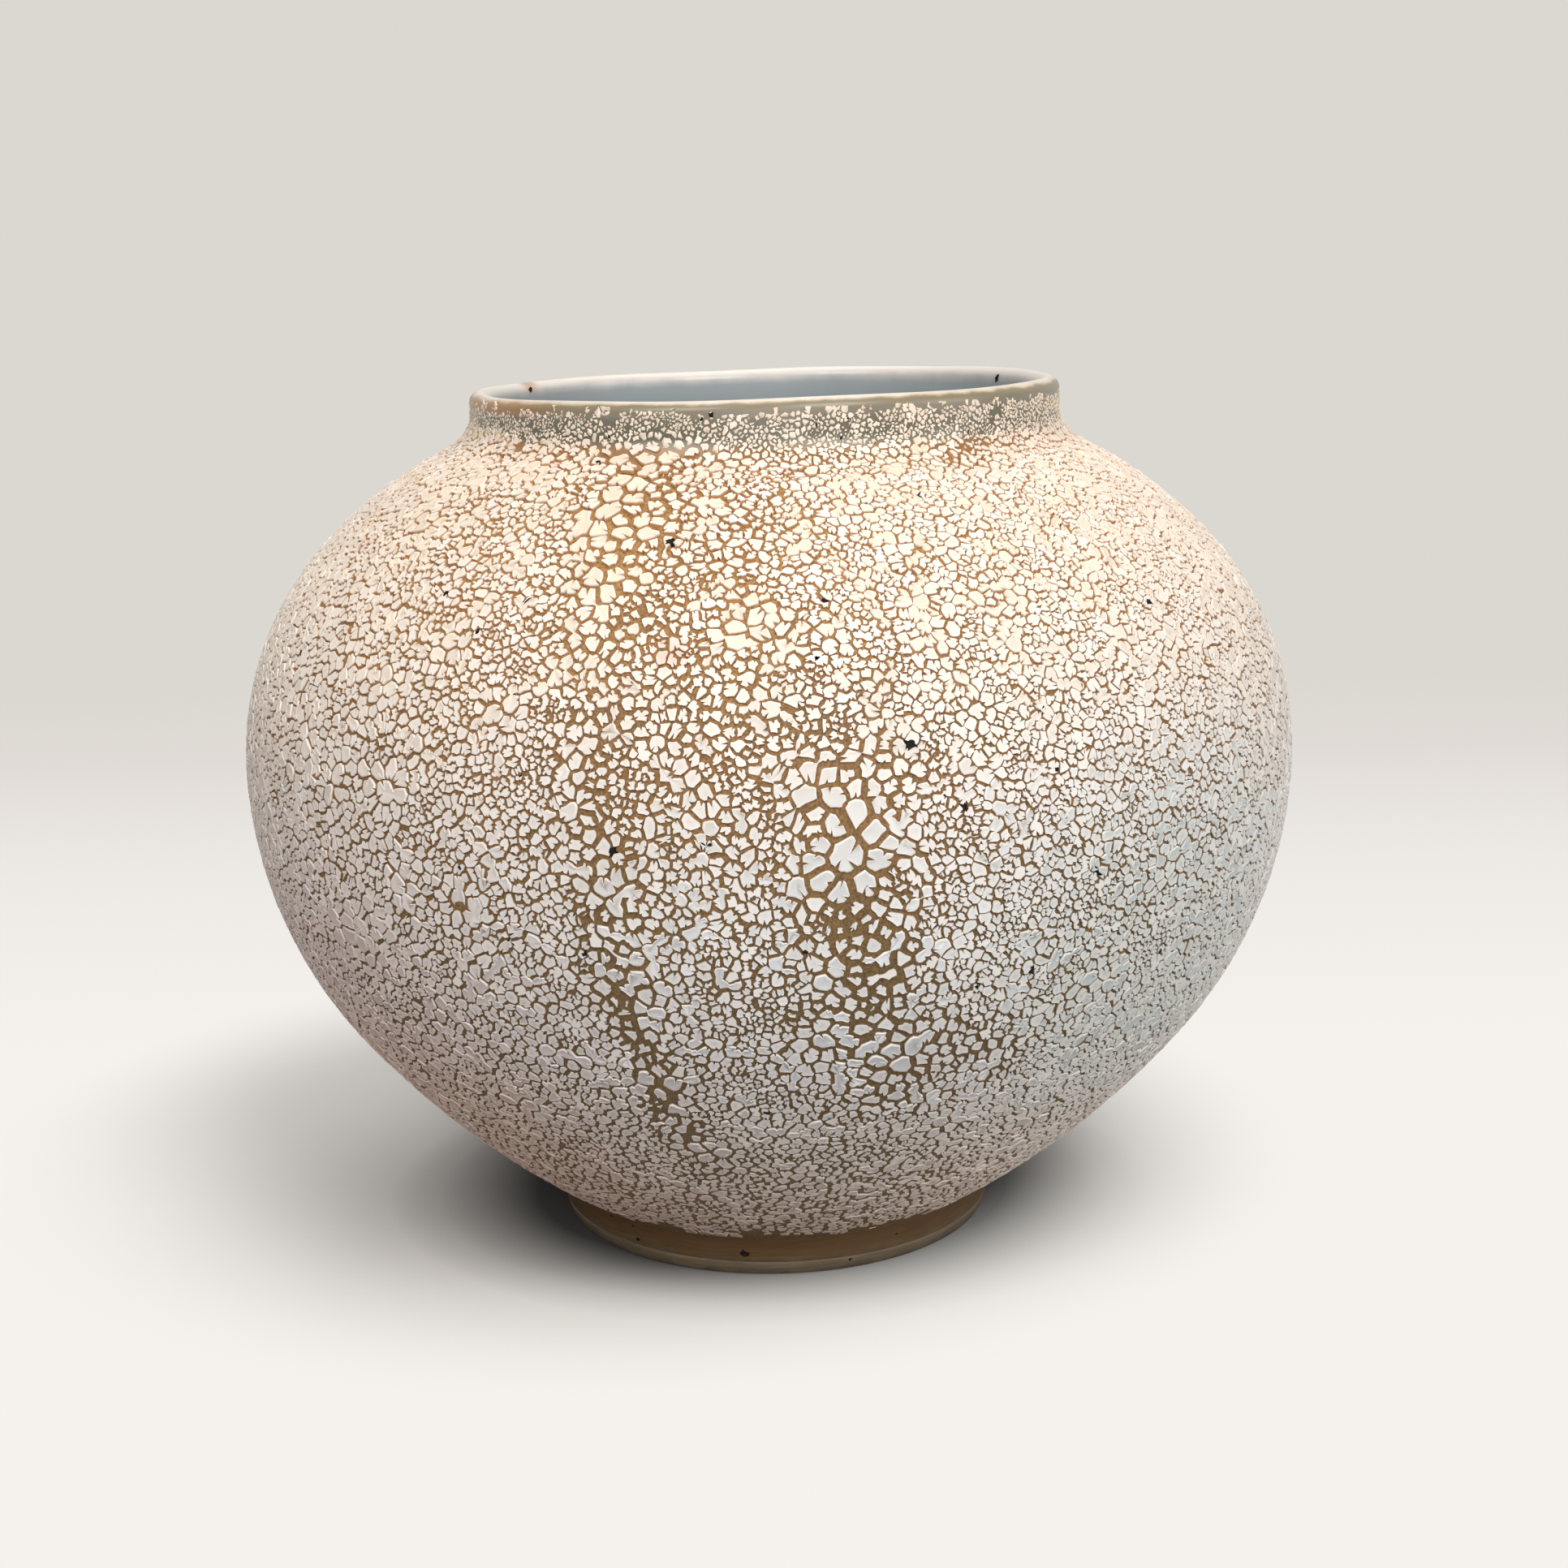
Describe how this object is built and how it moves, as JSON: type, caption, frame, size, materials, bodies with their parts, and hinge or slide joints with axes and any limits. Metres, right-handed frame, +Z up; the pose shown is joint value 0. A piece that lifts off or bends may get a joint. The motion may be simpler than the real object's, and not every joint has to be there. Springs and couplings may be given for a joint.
{
  "type": "korean moon jar",
  "caption": "Round stoneware jar with a flattened globe body, short upright collar with a rolled lip, small foot ring and a thick white glaze crawled into islands.",
  "frame": {"origin": "centre of the foot, on the table", "axes": "+Z up along the jar's axis; the jar is round, so +X and +Y are free, and the pictured side faces -Y"},
  "size_m": [0.23, 0.23, 0.188],
  "materials": {
    "stoneware_clay": "bare stoneware with an ochre iron wash, smooth grey liner glaze inside",
    "luting_slip": "fired clay slip",
    "crawl_glaze": "matt white glaze crawled into islands",
    "ash_glaze": "glossy olive-grey ash glaze with pale specks"
  },
  "bodies": {
    "root": {"foot_ring": "stoneware_clay", "lower_bowl": "stoneware_clay", "upper_bowl": "stoneware_clay", "collar": "stoneware_clay", "foot_lute": "luting_slip", "belly_lute": "luting_slip", "collar_lute": "luting_slip", "crawl_glaze_coat": "crawl_glaze", "collar_ash_glaze": "ash_glaze"}
  },
  "joints": []
}
